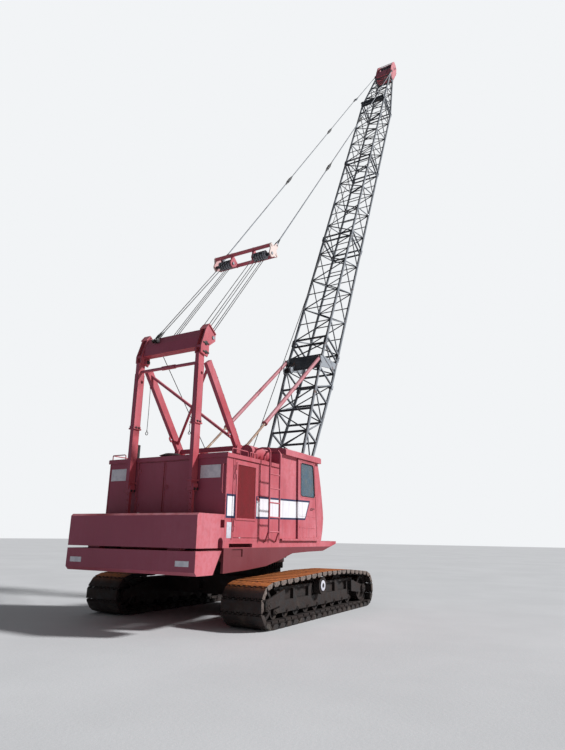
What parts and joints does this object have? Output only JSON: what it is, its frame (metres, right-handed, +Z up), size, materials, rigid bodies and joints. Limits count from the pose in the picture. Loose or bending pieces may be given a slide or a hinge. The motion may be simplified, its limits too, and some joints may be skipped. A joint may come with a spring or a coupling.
{
  "type": "crawler crane",
  "caption": "Crawler crane with a raised lattice boom, luffing gantry, hinged house doors and a sliding cab door, on fixed tracks",
  "frame": {"origin": "on the ground under the centre of rotation of the upper works", "axes": "+X to the machine's right, +Y forward over the boom foot, +Z up"},
  "size_m": [4.415, 17.5888, 27.7722],
  "materials": {
    "red_paint": "faded red machine paint, chalky",
    "dark_red_paint": "dull dark red paint",
    "slate_paint": "weathered dark slate paint",
    "track_steel": "rusty near-black steel",
    "bare_steel": "dull machined steel",
    "black_steel": "sooty black paint",
    "seat_cover": "black vinyl",
    "console_plastic": "grey moulding",
    "window_glass": "clear glass"
  },
  "bodies": {
    "undercarriage": {"carbody": "track_steel", "slew_ring": "track_steel", "side_frame_right": "track_steel", "side_frame_left": "track_steel", "track_right": "track_steel", "track_left": "track_steel", "drive_tumblers": "track_steel", "front_idlers": "track_steel", "track_rollers": "track_steel", "carrier_wheels": "track_steel"},
    "upper": {"revolving_frame": "dark_red_paint", "deck_right": "red_paint", "deck_left": "red_paint", "counterweight_lower": "red_paint", "counterweight_upper": "red_paint", "house_wall_right": "red_paint", "house_wall_left": "red_paint", "house_wall_rear": "red_paint", "house_wall_front": "red_paint", "house_roof": "red_paint", "engine_block": "bare_steel", "cab_shell": "red_paint", "cab_roof": "red_paint", "cab_glass": "window_glass", "operator_seat": "seat_cover", "control_stand": "console_plastic", "gantry_posts": "red_paint", "gantry_legs": "red_paint", "gantry_head": "red_paint", "roof_ladder": "red_paint", "exhaust_stack": "black_steel", "air_cleaner": "red_paint", "roof_vent": "dark_red_paint"},
    "boom": {"boom_base": "slate_paint", "boom_insert_1": "slate_paint", "boom_insert_2": "slate_paint", "boom_insert_3": "slate_paint", "boom_tip": "slate_paint", "boom_head": "red_paint", "tagline_winder": "slate_paint", "pendant_links": "slate_paint"},
    "head_sheave_set": {"head_sheaves": "slate_paint"},
    "luffing_tackle": {"gantry_sheaves": "slate_paint", "luffing_lines": "black_steel"},
    "floating_harness": {"harness": "red_paint", "harness_sheaves": "slate_paint", "pendants": "slate_paint"},
    "stop_tube_pair": {"stop_tubes": "red_paint"},
    "stop_rod_pair": {"stop_rods": "bare_steel"},
    "front_drum": {"hoist_drum_front": "bare_steel"},
    "rear_drum": {"hoist_drum_rear": "bare_steel"},
    "right_side_door": {"side_door_right": "red_paint"},
    "left_side_door": {"side_door_left": "red_paint"},
    "right_rear_door": {"rear_door_right": "red_paint"},
    "left_rear_door": {"rear_door_left": "red_paint"},
    "sliding_cab_door": {"cab_door": "red_paint"}
  },
  "joints": [
    {"name": "swing", "type": "hinge", "parent": "undercarriage", "child": "upper", "pos_m": [0, 0, 1.066], "axis": [0, 0, 1], "continuous": true},
    {"name": "boom_luff", "type": "hinge", "parent": "upper", "child": "boom", "pos_m": [0, 1.16, 1.65], "axis": [1, 0, 0], "range_deg": [-64.9, 15.1]},
    {"name": "tackle_pivot", "type": "hinge", "parent": "upper", "child": "luffing_tackle", "pos_m": [0, -2.85, 5.7], "axis": [1, 0, 0], "range_deg": [-61.25, 14.29]},
    {"name": "harness_travel", "type": "slide", "parent": "luffing_tackle", "child": "floating_harness", "axis": [0, 0.5955, 0.8034], "range_m": [-1.357, 5.827]},
    {"name": "stop_pivot", "type": "hinge", "parent": "boom", "child": "stop_tube_pair", "pos_m": [0, 3.01338, 7.02098], "axis": [1, 0, 0], "range_deg": [-3.16, 13.41]},
    {"name": "stop_travel", "type": "slide", "parent": "stop_tube_pair", "child": "stop_rod_pair", "axis": [0, -0.7645, -0.6446], "range_m": [-0.664, 2.846]},
    {"name": "head_sheave_spin", "type": "hinge", "parent": "boom", "child": "head_sheave_set", "pos_m": [0, 13.19797, 27.20687], "axis": [1, 0, 0], "continuous": true},
    {"name": "front_drum_spin", "type": "hinge", "parent": "upper", "child": "front_drum", "pos_m": [0, -0.34, 1.969], "axis": [1, 0, 0], "continuous": true},
    {"name": "rear_drum_spin", "type": "hinge", "parent": "upper", "child": "rear_drum", "pos_m": [0, -1.15, 1.969], "axis": [1, 0, 0], "continuous": true},
    {"name": "right_side_door_hinge", "type": "hinge", "parent": "upper", "child": "right_side_door", "pos_m": [1.562, -2.789, 2.352], "axis": [0, 0, 1], "range_deg": [-100, 0]},
    {"name": "left_side_door_hinge", "type": "hinge", "parent": "upper", "child": "left_side_door", "pos_m": [-1.562, -2.789, 2.352], "axis": [0, 0, 1], "range_deg": [0, 100]},
    {"name": "right_rear_door_hinge", "type": "hinge", "parent": "upper", "child": "right_rear_door", "pos_m": [0.706, -3.072, 2.575], "axis": [0, 0, 1], "range_deg": [0, 95]},
    {"name": "left_rear_door_hinge", "type": "hinge", "parent": "upper", "child": "left_rear_door", "pos_m": [-0.706, -3.072, 2.575], "axis": [0, 0, 1], "range_deg": [-95, 0]},
    {"name": "cab_door_slide", "type": "slide", "parent": "upper", "child": "sliding_cab_door", "axis": [0, -1, 0], "range_m": [0, 0.72]}
  ],
  "couplings": [
    {"joint": "tackle_pivot", "follows": "boom_luff", "ratio": 0.943},
    {"joint": "harness_travel", "follows": "boom_luff", "m_per_rad": -5.1425},
    {"joint": "stop_pivot", "follows": "boom_luff", "ratio": -0.2059},
    {"joint": "stop_travel", "follows": "boom_luff", "m_per_rad": -2.5111}
  ]
}
